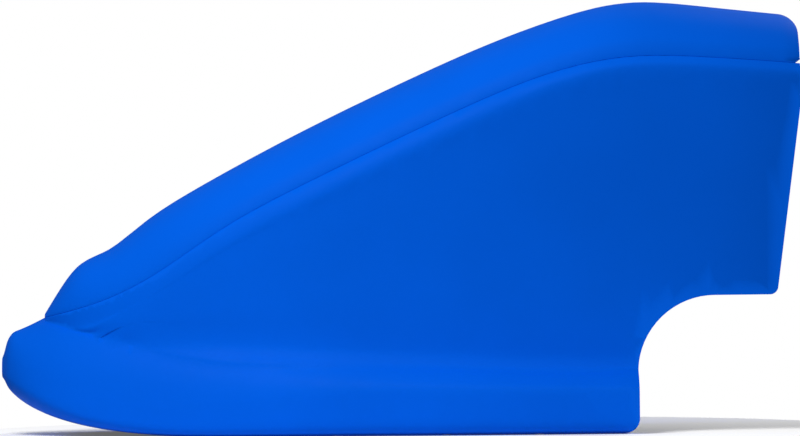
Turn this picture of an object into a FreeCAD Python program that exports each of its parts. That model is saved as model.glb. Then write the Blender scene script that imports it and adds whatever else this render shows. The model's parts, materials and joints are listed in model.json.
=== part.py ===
import FreeCAD
import Part
import math
import os
import re
import Sketcher

# A radio-controlled jet boat: a stepped moulded topside with a clamshell canopy, a flat hull
# pan, and an electric water-jet drive whose steering nozzle sits in a well under the stern.
# Millimetres. +X points aft, +Y to starboard, +Z up; the origin is under the middle of the
# hull, on the surface that the boat stands on.

DIMENSIONS = {
    # hull form
    "overall_length": 280,
    "overall_height": 150,
    "skirt_half_beam": 62,
    "skirt_taper_length": 190,
    "cabin_half_beam": 55.5,
    "cabin_taper_length": 186,
    "cabin_nose_x": -126,
    "skin": 2.2,
    "seam_gap": 0.4,
    "bow_tip_z": 22.7,
    "arch_centre_x": 108.9,
    "arch_centre_z": 20.8,
    "arch_radius": 26.5,
    "heel_x": 82.4,
    "stern_x": 140,
    "lip_width": 10,
    # jet drive, all on one line
    "jet_axis_z": 20,
    "duct_bore_radius": 10,
    "duct_wall": 1.5,
    "transom_x": 58,
    "liner_thickness": 2,
    "well_roof_z": 54,
    "shaft_radius": 1.5,
    "shaft_clearance": 0.05,
    "motor_radius": 13.85,
    "motor_length": 38,
    "motor_mount_x": -9,
    "motor_mount_thickness": 2.5,
    "coupling_radius": 4.5,
    "coupling_length": 13,
    "impeller_x": 46,
    "impeller_length": 7,
    "impeller_clearance": 0.4,
    "hub_radius": 3.2,
    # steering
    "steer_axis_x": 69,
    "steer_arm": 10,
    "arm_z": 34,
    "arm_thickness": 1.6,
    "servo_axis_x": 28,
    "servo_axis_y": 24,
    "rod_radius": 0.9,
    # power
    "battery_length": 52,
    "battery_width": 37,
    "battery_height": 19,
    "battery_x": -106,
    "floor_z": 6,
    # canopy hinge
    "hinge_x": 137,
    "hinge_z": 133.5,
    "knuckle_radius": 2,
    "pin_radius": 0.9,
}

doc = FreeCAD.newDocument("JetBoat")
sheet = doc.addObject("Spreadsheet::Sheet", "Dimensions")
for row, (alias, value) in enumerate(DIMENSIONS.items(), 1):
    sheet.set(f"A{row}", alias)
    sheet.set(f"B{row}", str(value))
    sheet.setAlias(f"B{row}", alias)
doc.recompute()


def dim(alias):
    """A driving dimension, as the spreadsheet holds it."""
    return float(sheet.get(alias))


# ---------------------------------------------------------------- hull lines


def spline(points):
    """The natural cubic spline z(x) through the points, straight beyond its ends."""
    xs, zs = zip(*points)
    last = len(xs) - 1
    steps = [xs[i + 1] - xs[i] for i in range(last)]
    slopes = [(zs[i + 1] - zs[i]) / steps[i] for i in range(last)]
    upper, right = [0.0], [0.0]
    for i in range(1, last):
        pivot = 2 * (steps[i - 1] + steps[i]) - steps[i - 1] * upper[-1]
        upper.append(steps[i] / pivot)
        right.append((6 * (slopes[i] - slopes[i - 1]) - steps[i - 1] * right[-1]) / pivot)
    bends = [0.0] * (last + 1)
    for i in range(last - 1, 0, -1):
        bends[i] = right[i] - upper[i] * bends[i + 1]

    def height(x):
        i = max(0, min(last - 1, sum(1 for edge in xs[1:-1] if x >= edge)))
        step = steps[i]
        inside = min(max(x, xs[i]), xs[i + 1])
        a, b = (xs[i + 1] - inside) / step, (inside - xs[i]) / step
        curve = (a**3 - a) * bends[i] + (b**3 - b) * bends[i + 1]
        z = a * zs[i] + b * zs[i + 1] + curve * step**2 / 6
        tilt = -(3 * a**2 - 1) * bends[i] + (3 * b**2 - 1) * bends[i + 1]
        return z + (x - inside) * (slopes[i] + tilt * step / 6)

    return height


# crown of the canopy on the centreline, from the finger notch behind the bow
crown = spline([
    (-126, 40.5), (-121.6, 47.6), (-115.9, 56), (-111.7, 60.2), (-106.5, 62.9), (-101.9, 65.1),
    (-90.6, 73.5), (-69.5, 86.9), (-34.4, 105.4), (0.7, 122.1), (28.8, 134.4), (56.8, 144.6),
    (70.8, 148.4), (83, 150), (105.7, 148.6), (140, 144.8),
])
# valley over the shoulder bead, where the canopy lid meets the topside
valley = spline([
    (-126, 40.5), (-115, 43.2), (-105, 46.2), (-87.3, 54.3), (-61, 71.4), (-34.6, 85.5),
    (18, 110.1), (53, 124), (79.3, 129.3), (105.5, 129.1), (139.4, 126.6),
])
# foot of the cabin side, where the ledge starts, and the height of the greatest beam
ledge = spline([
    (-126, 40.5), (-105, 35), (-87.5, 31.6), (-52.7, 28.1), (-17.8, 26), (17, 24.2),
    (52, 22.8), (140, 22.5),
])
chine = spline([
    (-140, 22.7), (-125, 15), (-105, 11), (-88, 10.2), (-53, 12), (-18, 14.2), (30, 14.2),
    (140, 13.8),
])


def ramp(x, start, end):
    """0 before start, 1 after end, smooth between."""
    share = min(1.0, max(0.0, (x - start) / (end - start)))
    return share * share * (3 - 2 * share)


def skirt_width(x, inset=0.0):
    """Half-beam of the skirt: an elliptical bow into parallel sides."""
    length = dim("skirt_taper_length") - inset
    aft = dim("skirt_taper_length") - dim("overall_length") / 2
    reach = min(0.9985, max(0.0, (aft - x) / length))
    return (dim("skirt_half_beam") - inset) * math.sqrt(1 - reach**2)


def shoulder_width(x, inset=0.0):
    """Half-beam of the cabin at its shoulder bead, drawn in a little towards the stern."""
    length = dim("cabin_taper_length") - inset
    aft = dim("cabin_nose_x") + dim("cabin_taper_length")
    reach = min(0.9999, max(0.0, (aft - x) / length))
    tuck = 4 * (max(0.0, x - aft) / 80) ** 2
    return (dim("cabin_half_beam") - inset) * math.sqrt(1 - reach**2.5) - tuck


def bead_drop(x):
    """How far the bead's crest lies under the valley."""
    full = 5.3 - 1.9 * ramp(x, 30, 80)
    return min(full, 0.55 * (valley(x) - ledge(x)))


def foot_width(x, inset=0.0):
    """Half-beam at the foot of the cabin side, which leans in as it goes down."""
    lean = 0.055 * (valley(x) - bead_drop(x) - ledge(x))
    return shoulder_width(x, inset) - lean


def deck_height(x):
    """Crown of the skirt moulding's own deck, set so that its ledge meets the cabin's foot."""
    nose = -dim("overall_length") / 2
    if x <= dim("cabin_nose_x"):
        rise = math.sqrt(max(0.0, 1 - (1 - min(1.0, (x - nose) / 6)) ** 2))
        return dim("bow_tip_z") + 14.2 * rise + 0.45 * max(0.0, x - nose - 6)
    share = foot_width(x) / skirt_width(x)
    return chine(x) + (ledge(x) - chine(x)) / math.sqrt(1 - share**2)


def keel_height(x):
    """Bottom of the hull on the centreline: a rounded forefoot into a flat run."""
    aft = x + dim("overall_length") / 2
    reach = max(0.0, 1 - aft / 85)
    return dim("bow_tip_z") * (1 - math.sqrt(1 - reach**3)) - 0.6 * ramp(aft, 30, 85)


def spline_surface(rows):
    """The smooth surface through a grid of points, every row sharing one spacing."""

    def spacing(lines):
        gaps = [
            sum(line[i + 1].distanceToPoint(line[i]) for line in lines)
            for i in range(len(lines[0]) - 1)
        ]
        marks = [0.0]
        for gap in gaps:
            marks.append(marks[-1] + gap / sum(gaps))
        return marks

    def fitted(lines, marks):
        curves = []
        for line in lines:
            curve = Part.BSplineCurve()
            curve.interpolate(Points=line, Parameters=marks)
            curves.append(curve)
        return curves

    across = fitted(rows, spacing(rows))
    columns = [list(column) for column in zip(*(curve.getPoles() for curve in across))]
    along = fitted(columns, spacing(columns))
    poles = [list(row) for row in zip(*(curve.getPoles() for curve in along))]
    surface = Part.BSplineSurface()
    surface.buildFromPolesMultsKnots(
        poles,
        along[0].getMultiplicities(),
        across[0].getMultiplicities(),
        along[0].getKnots(),
        across[0].getKnots(),
        False,
        False,
        3,
        3,
    )
    return surface.toShape()


def closed_solid(surface):
    """A tube-like surface closed by flat faces at its ends and, where it is open, at its sill."""
    edges = sorted(surface.Edges, key=lambda edge: edge.BoundBox.XLength)
    faces = [surface]
    chords = []
    for end in edges[:2]:
        loop = [end]
        first, last = end.firstVertex().Point, end.lastVertex().Point
        if first.distanceToPoint(last) > 0.001:
            chords.append(Part.makeLine(first, last))
            loop.append(chords[-1])
        faces.append(Part.Face(Part.Wire(Part.__sortEdges__(loop))))
    if chords:
        faces.append(Part.Face(Part.Wire(Part.__sortEdges__(edges[2:] + chords))))
    shell = Part.Shell(faces)
    shell.sewShape()
    return Part.Solid(shell)


def both_sides(half):
    """A whole section row from its starboard half, which ends on the centreline crown."""
    port = [(x, -y, z) for x, y, z in reversed(half[:-1])]
    return [FreeCAD.Vector(*point) for point in half + port]


def skirt_row(x, inset):
    """Points round one section of the skirt moulding, from keel to keel."""
    form_x = max(x - inset, -dim("overall_length") / 2 + 0.3)
    width, side = skirt_width(x, inset), chine(x)
    top = deck_height(form_x) - inset
    keel = keel_height(max(x, -dim("overall_length") / 2 + 0.3)) + inset
    fullness = 2 + 7 * ramp(x, -139, -70)
    half = []
    for turn in (90, 78, 66, 57, 51, 45, 39, 33, 24, 12):
        across, down = math.cos(math.radians(turn)), math.sin(math.radians(turn))
        reach = (across**fullness + down**fullness) ** (-1 / fullness)
        half.append((x, width * across * reach, side - (side - keel) * down * reach))
    for turn in (0, 13, 26, 39, 52, 65, 78, 90):
        angle = math.radians(turn)
        half.append((x, width * math.cos(angle), side + (top - side) * math.sin(angle)))
    return both_sides(half)


def skirt_solid(inset):
    """The skirt moulding as one solid, its outside set in, standing on the ground."""
    start = -dim("overall_length") / 2 + inset
    span = 95 + inset - start
    rows = [skirt_row(start + span * (i / 26) ** 1.9, inset) for i in range(27)]
    above = Part.makeBox(300, 160, 60, FreeCAD.Vector(-150, -80, max(0.0, inset)))
    return closed_solid(spline_surface(rows)).common(above)


def cabin_row(x, inset, base):
    """Points over one section of the cabin and canopy, from its starboard foot to its port one."""
    slope = (crown(x + 0.2) - crown(x - 0.2)) / 0.4
    top = crown(x) - inset * math.hypot(1, slope)
    seam, step = valley(x), 2.4 * ramp(x, -128, -20)
    width, sill, bead = shoulder_width(x, inset), ledge(x), seam - bead_drop(x)
    rise = max(0.5, top - seam)
    under, fullness = 0.22 * rise, 2.3
    half = []
    wall, flare, cove = bead - sill, (4.2 - inset) * ramp(x, -118, -50), min(6, 0.4 * (bead - sill))
    fitted = [base, (base + sill) / 2 - 1, sill - 2, sill - 0.4]
    fitted += [sill + cove * share for share in (0.2, 0.55)]
    fitted += [sill + cove + share * (wall - cove) for share in (0, 0.2, 0.4, 0.6, 0.8, 0.93)]
    even = [base + (bead - base) * i / 12.5 for i in range(12)]
    settled = ramp(x, -118, -90)
    for z_even, z_fitted in zip(even, fitted):
        z = z_even + settled * (z_fitted - z_even)
        up = max(0.0, (z - sill) / wall)
        near = min(1.0, max(0.0, (sill + cove - z) / (cove + 3)))
        y = width - 0.055 * (bead - z) + 2.4 * up * max(0.0, 1 - up) + flare * near**2
        half.append((x, y, z))
    half.append((x, width, bead))
    half.append((x, width - 0.45 * step, bead + 0.62 * (seam - bead)))
    half.append((x, width - step, seam))
    for turn in (19, 30, 42, 54, 66, 78, 90):
        angle = math.radians(turn)
        y = (width - step) / 0.9915 * max(0.0, math.cos(angle)) ** (2 / fullness)
        half.append((x, y, seam - under + (rise + under) * math.sin(angle) ** (2 / fullness)))
    return both_sides(half)


def cabin_solid(inset):
    """The cabin and canopy as one solid, its outside set in, its foot inside the skirt."""
    start = dim("cabin_nose_x") + (1.4 if inset == 0 else 2.2 * inset)
    span = 142 + inset - start
    rows = [cabin_row(start + span * (i / 28) ** 1.6, inset, 18 - inset) for i in range(29)]
    return closed_solid(spline_surface(rows))


def side_prism(path, reach=90):
    """A solid with the given side outline, running straight across the boat.

    The path holds (x, z) corners; a pair of them is an arc, through the first to the second."""
    here = FreeCAD.Vector(path[0][0], -reach, path[0][1])
    edges = []
    for step in path[1:] + path[:1]:
        arc = isinstance(step[0], tuple)
        end_x, end_z = step[1] if arc else step
        there = FreeCAD.Vector(end_x, -reach, end_z)
        if arc:
            middle = FreeCAD.Vector(step[0][0], -reach, step[0][1])
            edges.append(Part.Arc(here, middle, there).toShape())
        else:
            edges.append(Part.makeLine(here, there))
        here = there
    return Part.Face(Part.Wire(edges)).extrude(FreeCAD.Vector(0, 2 * reach, 0))


def above_seam(lift):
    """Everything over the lid seam, which follows the valley; lift moves it up or down."""
    reach = 90
    start, end = dim("cabin_nose_x") - 1, 150
    xs = [start + (end - start) * i / 40 for i in range(41)]
    line = Part.BSplineCurve()
    line.interpolate([FreeCAD.Vector(x, -reach, valley(x) + 0.6 + lift) for x in xs])
    first, last = line.StartPoint, line.EndPoint
    high = FreeCAD.Vector(0, 0, 200)
    corners = [last, last + high, first + high, first]
    edges = [line.toShape()] + [Part.makeLine(corners[i], corners[i + 1]) for i in range(3)]
    return Part.Face(Part.Wire(edges)).extrude(FreeCAD.Vector(0, 2 * reach, 0))


def bottom_region(inset, front, back):
    """An upright block under the hull whose outline lies inside the skirt's by inset."""
    xs = [front + (back - front) * i / 12 for i in range(13)]
    side = Part.BSplineCurve()
    side.interpolate([FreeCAD.Vector(x, skirt_width(x) - inset, -5) for x in xs])
    other = Part.BSplineCurve()
    other.interpolate([FreeCAD.Vector(x, inset - skirt_width(x), -5) for x in xs])
    edges = [
        side.toShape(),
        Part.makeLine(side.EndPoint, other.EndPoint),
        other.toShape(),
        Part.makeLine(other.StartPoint, side.StartPoint),
    ]
    return Part.Face(Part.Wire(Part.__sortEdges__(edges))).extrude(FreeCAD.Vector(0, 0, 19))


def stern_profile():
    """Side outline of the whole boat: heel, arch over the jet, raked stern and roof corner."""
    arch_x, arch_z, radius = dim("arch_centre_x"), dim("arch_centre_z"), dim("arch_radius")
    heel, stern, root = dim("heel_x"), dim("stern_x"), math.sqrt(0.5)
    return side_prism([
        (-150, 0),
        (heel - 5.5, 0),
        ((heel - 5.5 + 5.5 * root, 5.5 - 5.5 * root), (heel, 5.5)),
        (heel, arch_z),
        ((arch_x - radius * root, arch_z + radius * root), (arch_x, arch_z + radius)),
        (stern - 12, arch_z + radius),
        ((stern - 9.9, arch_z + radius + 0.7), (stern - 8.9, arch_z + radius + 2.8)),
        (stern, 118),
        (stern, 122),
        (stern - 0.7, 127),
        (stern - 0.7, 138),
        ((stern - 2.9, 143.4), (stern - 8.4, 145.9)),
        (stern - 8.4, 170),
        (-150, 170),
    ])


# ---------------------------------------------------------------- document helpers

ORIGIN = FreeCAD.Vector(0, 0, 0)
AFT = FreeCAD.Vector(1, 0, 0)
STARBOARD = FreeCAD.Vector(0, 1, 0)
UP = FreeCAD.Vector(0, 0, 1)
DUCT_HOLES = [(x, y) for x in (-1.5, 31) for y in (-15, 15)]
NODES = {}


def vector(x, y, z):
    return FreeCAD.Vector(x, y, z)


def bind(item, name, value):
    """Give a size as a number, or bind it to the sheet when it is a formula of its names."""
    if isinstance(value, str):
        item.setExpression(name, re.sub(r"[a-z_]{3,}", r"Dimensions.\g<0>", value))
    else:
        setattr(item, name, value)


def box(length, width, height, corner):
    item = doc.addObject("Part::Box", "Block")
    bind(item, "Length", length)
    bind(item, "Width", width)
    bind(item, "Height", height)
    item.Placement = FreeCAD.Placement(vector(*corner), FreeCAD.Rotation())
    return item


def centred_box(x, y, z, length, width, height):
    """A box from x aft and z up, centred on y."""
    return box(length, width, height, (x, y - width / 2, z))


def cylinder(radius, length, start, axis=AFT):
    item = doc.addObject("Part::Cylinder", "Round")
    bind(item, "Radius", radius)
    bind(item, "Height", length)
    item.Placement = FreeCAD.Placement(vector(*start), FreeCAD.Rotation(UP, axis))
    return item


def fused(*pieces):
    if len(pieces) == 1:
        return pieces[0]
    item = doc.addObject("Part::MultiFuse", "Joined")
    item.Shapes = list(pieces)
    return item


def less(base, *tools):
    item = doc.addObject("Part::Cut", "Cut")
    item.Base = base
    item.Tool = fused(*tools)
    return item


def group(*pieces):
    """Separate identical fasteners that share one node."""
    item = doc.addObject("Part::Compound", "Group")
    item.Links = list(pieces)
    return item


def shaped(shape):
    """A document object for a form that neither primitives nor sketches can give."""
    item = doc.addObject("Part::Feature", "Form")
    item.Shape = shape
    return item


def node(label, item):
    """Name a finished sub-part."""
    item.Label = label
    NODES[label] = item
    return item


def sketched(role, outline, circles=()):
    """A body and a closed sketch on one of its own origin planes."""
    body = doc.addObject("PartDesign::Body", "Body")
    sketch = body.newObject("Sketcher::SketchObject", "Outline")
    plane = next(item for item in body.Origin.OriginFeatures if item.Role == role)
    sketch.AttachmentSupport = [(plane, "")]
    sketch.MapMode = "FlatFace"
    corners = [vector(u, v, 0) for u, v in outline]
    for i, corner in enumerate(corners):
        sketch.addGeometry(Part.LineSegment(corner, corners[(i + 1) % len(corners)]), False)
    for i in range(len(corners)):
        sketch.addConstraint(Sketcher.Constraint("Coincident", i, 2, (i + 1) % len(corners), 1))
    for u, v, radius in circles:
        sketch.addGeometry(Part.Circle(vector(u, v, 0), UP, radius), False)
    return body, sketch


def turned(outline, start):
    """A part turned about the fore-and-aft line through start; the outline is (x, radius)."""
    body, sketch = sketched("XZ_Plane", outline)
    spin = body.newObject("PartDesign::Revolution", "Turning")
    spin.Profile = sketch
    spin.ReferenceAxis = (sketch, ["H_Axis"])
    spin.Angle = 360
    body.Tip = spin
    body.Placement = FreeCAD.Placement(vector(*start), FreeCAD.Rotation())
    return body


def plate(role, outline, circles, thickness, start, turn=FreeCAD.Rotation()):
    """A flat part cut from sheet, its thickness standing on its sketch plane."""
    body, sketch = sketched(role, outline, circles)
    pad = body.newObject("PartDesign::Pad", "Thickness")
    pad.Profile = sketch
    bind(pad, "Length", thickness)
    body.Tip = pad
    body.Placement = FreeCAD.Placement(vector(*start), turn)
    return body


def screw(head, shank, length, start, axis):
    """A cheese-head screw: start is the seat under its head, axis runs down its shank."""
    along = vector(*axis)
    seat = vector(*start)
    top = cylinder(head, head * 0.8, tuple(seat - along * (head * 0.8)), along)
    slot = centred_box(-head, 0, 0, 2 * head, 0.5, 0.6)
    turn = FreeCAD.Rotation(UP, along)
    place = seat - along * (head * 0.8)
    slot.Placement = FreeCAD.Placement(
        place + turn.multVec(vector(-head, -0.25, -0.1)), turn
    )
    return fused(less(top, slot), cylinder(shank, length, tuple(seat), along))


def cord(points, radius, bend):
    """A round cord along straight runs joined by tangent arcs of the bend radius."""
    marks = [vector(*point) for point in points]
    edges, here = [], marks[0]
    for before, corner, after in zip(marks, marks[1:], marks[2:]):
        into, out = (corner - before).normalize(), (after - corner).normalize()
        half = into.getAngle(out) / 2
        back = bend * math.tan(half)
        start, end = corner - into * back, corner + out * back
        inner = (out - into).normalize()
        middle = corner + inner * (bend / math.cos(half) - bend)
        edges += [Part.makeLine(here, start), Part.Arc(start, middle, end).toShape()]
        here = end
    edges.append(Part.makeLine(here, marks[-1]))
    length = sum(edge.Length for edge in edges)
    path = Part.Wire(edges)
    ring = Part.Wire(Part.makeCircle(radius, marks[0], marks[1] - marks[0]))
    tube = path.makePipeShell([ring], True, True)
    share = tube.Volume / (math.pi * radius**2 * length)
    print(f"cord radius {radius} bend {bend} length {length:.1f} volume share {share:.4f}")
    return shaped(tube)


# ---------------------------------------------------------------- shells


def hull_shells():
    """Main shell, canopy lid, hull pan and the pieces trimmed to the inside of the shell."""
    skin, gap = dim("skin"), dim("seam_gap")
    transom, lip = dim("transom_x"), dim("lip_width")
    outer_skirt, inner_skirt = skirt_solid(0), skirt_solid(skin)
    outer_cabin, inner_cabin = cabin_solid(0), cabin_solid(skin)
    room = skirt_solid(skin + 0.3).fuse(cabin_solid(skin + 0.3))
    profile = stern_profile()
    lid_tip = Part.makeBox(300, 200, 200, vector(dim("cabin_nose_x") + 1.2, -100, 0))

    main = outer_skirt.fuse(outer_cabin).common(profile)
    main = main.cut(inner_skirt).cut(inner_cabin)
    main = main.cut(above_seam(-gap / 2).common(lid_tip))
    main = main.cut(bottom_region(lip, -118, 95))

    rear = dim("hinge_x") - 3.5
    bulkhead = Part.makeBox(2, 200, 60, vector(rear - 2, -100, 100)).common(outer_cabin)
    lid = outer_cabin.cut(inner_cabin).fuse(bulkhead)
    bar = Part.makeBox(7, 80, 2, vector(-113, -40, 46.2)).common(outer_cabin)
    lid = lid.fuse(bar).common(profile).common(lid_tip).common(above_seam(gap / 2))
    heel_cut = side_prism([(dim("hinge_x"), 120), (150, 120), (150, 137), (dim("hinge_x"), 127)])
    lid = lid.cut(heel_cut)

    inner_bottom = skirt_solid(skin + 2.3)
    pan_front, pan_back = -117.7, transom - 0.2
    low = skirt_solid(skin + 0.3).common(bottom_region(lip / 2, pan_front + 4, pan_back))
    pan = outer_skirt.common(bottom_region(lip + 0.3, pan_front, pan_back)).fuse(low)
    pan = pan.cut(inner_bottom)
    pan = pan.cut(inner_skirt.common(bottom_region(lip + 3, pan_front + 3, pan_back + 1)))
    return main, lid, pan, room


def swept_duct():
    """Intake bend and pump barrel in one casting, with its mouth block and foot flange."""
    jet_z, bore, wall = dim("jet_axis_z"), dim("duct_bore_radius"), dim("duct_wall")
    bend, start_x = 26, 44

    def tube(radius):
        ring = Part.Wire(Part.makeCircle(radius, vector(60, 0, jet_z), AFT))
        top = vector(start_x, 0, jet_z)
        root = math.sqrt(0.5)
        middle_turn = math.radians(22.5)
        middle = vector(
            start_x - bend * math.sin(middle_turn), 0, jet_z - bend + bend * math.cos(middle_turn)
        )
        low = vector(start_x - bend * root, 0, jet_z - bend + bend * root)
        end = low - vector(18, 0, 18)
        path = Part.Wire([
            Part.makeLine(vector(60, 0, jet_z), top),
            Part.Arc(top, middle, low).toShape(),
            Part.makeLine(low, end),
        ])
        return path.makePipeShell([ring], True, True)

    ground = Part.makeBox(100, 60, 60, vector(-30, -30, 0))
    block = Part.makeBox(35, 23.8, 3.8, vector(-3.2, -11.9, 0))
    foot = Part.makeBox(38, 36, 1.6, vector(-4.2, -18, 2.2))
    body = tube(bore + wall).common(ground).fuse(block).fuse(foot).cut(tube(bore))
    shaft_hole = Part.makeCylinder(3.3, 20, vector(6, 0, jet_z), AFT)
    grille_seat = Part.makeBox(31, 21.8, 1.3, vector(-2, -10.9, -0.1))
    return body.cut(shaft_hole).cut(grille_seat)


def jet_drive():
    """Everything fixed along the jet line: duct, tube, stator, outlet, motor and its mount."""
    jet_z, bore = dim("jet_axis_z"), dim("duct_bore_radius")
    transom, axis = dim("transom_x"), (0, 0, dim("jet_axis_z"))
    duct = shaped(swept_duct())
    drills = [cylinder(0.9, 6, (x, y, 0), UP) for x, y in DUCT_HOLES]
    node("jet_duct", less(duct, *drills))
    slots = [centred_box(1.2, y, 0, 25.4, 2.4, 2) for y in (-8, -4, 0, 4, 8)]
    node("intake_grille", less(centred_box(-1.8, 0, 0.2, 30.6, 21.4, 1), *slots))
    node("duct_screws", group(*[
        screw(1.5, 0.8, 2.8, (x, y, 3.8), (0, 0, -1)) for x, y in DUCT_HOLES
    ]))
    shaft = dim("shaft_radius") + dim("shaft_clearance")
    node("stuffing_tube", turned([(8, shaft), (8, 3.2), (24, 3.2), (24, shaft)], axis))
    back = transom + 2
    stator_x = dim("impeller_x") + dim("impeller_length") + 0.8
    hub = dim("hub_radius")
    vanes = []
    for i in range(5):
        vane = centred_box(stator_x, 0, jet_z + hub - 0.4, 5.4, 0.9, 9.35 - hub)
        turn = FreeCAD.Rotation(AFT, 72 * i)
        lever = vector(stator_x, -0.45, hub - 0.4)
        vane.Placement = FreeCAD.Placement(
            turn.multVec(lever) + vector(0, 0, jet_z), turn
        )
        vanes.append(vane)
    ring = turned([(stator_x, 8.9), (stator_x, 9.95), (stator_x + 5.4, 9.95), (stator_x + 5.4, 8.9)], axis)
    boss = turned([
        (stator_x, shaft), (stator_x, hub), (stator_x + 5.4, hub), (stator_x + 9, 0.9), (stator_x + 9, 0.4),
        (stator_x + 5, 0.4), (stator_x + 5, shaft),
    ], axis)
    node("stator", fused(ring, boss, *vanes))
    bolt_ring = 13.2
    bolts = [
        (bolt_ring * math.cos(a), jet_z + bolt_ring * math.sin(a))
        for a in [math.radians(45 + 90 * i) for i in range(4)]
    ]
    flange = turned([
        (back, bore), (back, 15), (back + 1.6, 15), (back + 1.6, 11.4), (70, 9.9), (71.5, 9.7), (71.5, 8.5),
    ], axis)
    pivots = [
        cylinder(1.5, 4.2, (dim("steer_axis_x"), 0, jet_z + 9.2), UP),
        cylinder(1.5, 4.2, (dim("steer_axis_x"), 0, jet_z - 13.4), UP),
    ]
    drilled = less(flange, *[cylinder(0.85, 4, (back - 1, y, z)) for y, z in bolts])
    node("outlet_nozzle", fused(drilled, *pivots))
    node("nozzle_screws", group(*[
        screw(1.4, 0.75, 2.9, (back + 1.6, y, z), (-1, 0, 0)) for y, z in bolts
    ]))

    mount_x, mount = dim("motor_mount_x"), dim("motor_mount_thickness")
    radius, length = dim("motor_radius"), dim("motor_length")
    front = mount_x - length
    can = turned([
        (front, 1), (front, radius - 1), (front + 1, radius), (mount_x - 2, radius), (mount_x, radius - 2),
        (mount_x, 5), (mount_x + 1.5, 5), (mount_x + 1.5, 2), (mount_x - 8, 2), (mount_x - 8, 1),
    ], axis)
    slots = [centred_box(front + 4, 0, jet_z + radius - 2, 6, 7, 4)]
    node("motor_can", less(can, *slots, *[
        cylinder(0.9, 3, (mount_x - 2.5, y, jet_z)) for y in (-8, 8)
    ]))
    lugs = [centred_box(front - 6.5, y, jet_z + 4.5, 3.5, 0.8, 3) for y in (-7, 7)]
    end = turned([(front - 3, 1), (front - 3, 11.5), (front - 2, 12.5), (front, 12.5), (front, 1)], axis)
    boss = turned([(front - 5, 1), (front - 5, 3.4), (front - 3, 3.6), (front - 3, 1)], axis)
    node("motor_endbell", fused(end, boss))
    node("motor_terminals", group(*lugs))
    outline = [(-17, 2.2), (17, 2.2), (17, 24), (10, 37), (-10, 37), (-17, 24)]
    circles = [(0, jet_z, 5.1), (-8, jet_z, 0.9), (8, jet_z, 0.9)]
    upright = plate("YZ_Plane", outline, circles, "motor_mount_thickness", (mount_x, 0, 0))
    foot = centred_box(mount_x - 17, 0, 2.2, 17, 30, 2)
    foot_holes = [(mount_x - 13, y) for y in (-11, 11)]
    drills = [cylinder(0.9, 4, (x, y, 1.5), UP) for x, y in foot_holes]
    node("motor_mount", less(fused(upright, foot), *drills))
    face_screws = [screw(1.6, 0.8, 4, (mount_x + mount, y, jet_z), (-1, 0, 0)) for y in (-8, 8)]
    foot_screws = [screw(1.6, 0.8, 1.9, (x, y, 4.2), (0, 0, -1)) for x, y in foot_holes]
    node("motor_screws", group(*face_screws, *foot_screws))
    jacket = turned([
        (-39, radius + 0.05), (-39, radius + 1.4), (-27, radius + 1.4), (-27, radius + 0.05),
    ], axis)
    nipples = [
        less(cylinder(1.4, 4, (x, 0, jet_z + radius + 1), UP), cylinder(0.8, 6, (x, 0, jet_z + radius + 0.8), UP))
        for x in (-36, -30)
    ]
    node("cooling_jacket", fused(jacket, *nipples))


def drive_line():
    """The turning parts: motor shaft, coupling, drive shaft and impeller."""
    jet_z, shaft = dim("jet_axis_z"), dim("shaft_radius")
    mount_x, length = dim("motor_mount_x"), dim("motor_length")
    front = mount_x - length
    coupling_x, coupling = -6, dim("coupling_length")
    node("motor_shaft", cylinder(0.95, coupling_x + 5 - front + 2, (front - 2, 0, jet_z)))
    split = coupling_x + coupling / 2
    flat = turned([
        (coupling_x, 1), (coupling_x, 4.5), (coupling_x + coupling, 4.5), (coupling_x + coupling, shaft + 0.05),
        (split, shaft + 0.05), (split, 1),
    ], (0, 0, jet_z))
    grub = [cylinder(0.9, 4, (x, 0, jet_z + 2.6), UP) for x in (-3, 4)]
    node("coupling", less(flat, *grub))
    hub_x, hub_length = dim("impeller_x"), dim("impeller_length")
    tail = hub_x + hub_length
    node("drive_shaft", cylinder("shaft_radius", tail + 5 - split - 0.1, (split + 0.1, 0, jet_z)))
    hub = Part.makeCylinder(dim("hub_radius"), hub_length, vector(hub_x, 0, 0), AFT)
    hub = hub.fuse(Part.makeCone(2.2, dim("hub_radius"), 2, vector(hub_x - 2, 0, 0), AFT))
    reach = dim("duct_bore_radius") - dim("impeller_clearance")
    blades = []
    for i in range(3):
        rings = []
        for radius in (dim("hub_radius") - 0.6, 5.5, 8, reach + 1):
            pitch = math.atan2(26 / (2 * math.pi), radius)
            chord = (hub_length - 0.8) / math.sin(pitch)
            along = vector(math.sin(pitch), math.cos(pitch), 0)
            across = vector(math.cos(pitch), -math.sin(pitch), 0)
            centre = vector(hub_x + hub_length / 2, 0, radius)
            corners = [
                centre + along * (chord / 2 * a) + across * (0.45 * b)
                for a, b in ((-1, 0.3), (0, 1), (1, 0.3), (1, -0.3), (0, -1), (-1, -0.3))
            ]
            rings.append(Part.Wire(Part.makePolygon(corners + corners[:1]).Edges))
        blade = Part.makeLoft(rings, True, True)
        blade.rotate(ORIGIN, AFT, 120 * i)
        blades.append(blade)
    drum = Part.makeCylinder(reach, hub_length, vector(hub_x, 0, 0), AFT)
    rotor = hub.fuse([blade.common(drum) for blade in blades])
    rotor = rotor.cut(Part.makeCylinder(shaft + 0.05, 40, vector(hub_x - 5, 0, 0), AFT))
    impeller = shaped(rotor)
    impeller.Placement = FreeCAD.Placement(vector(0, 0, jet_z), FreeCAD.Rotation())
    node("impeller", impeller)


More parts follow.
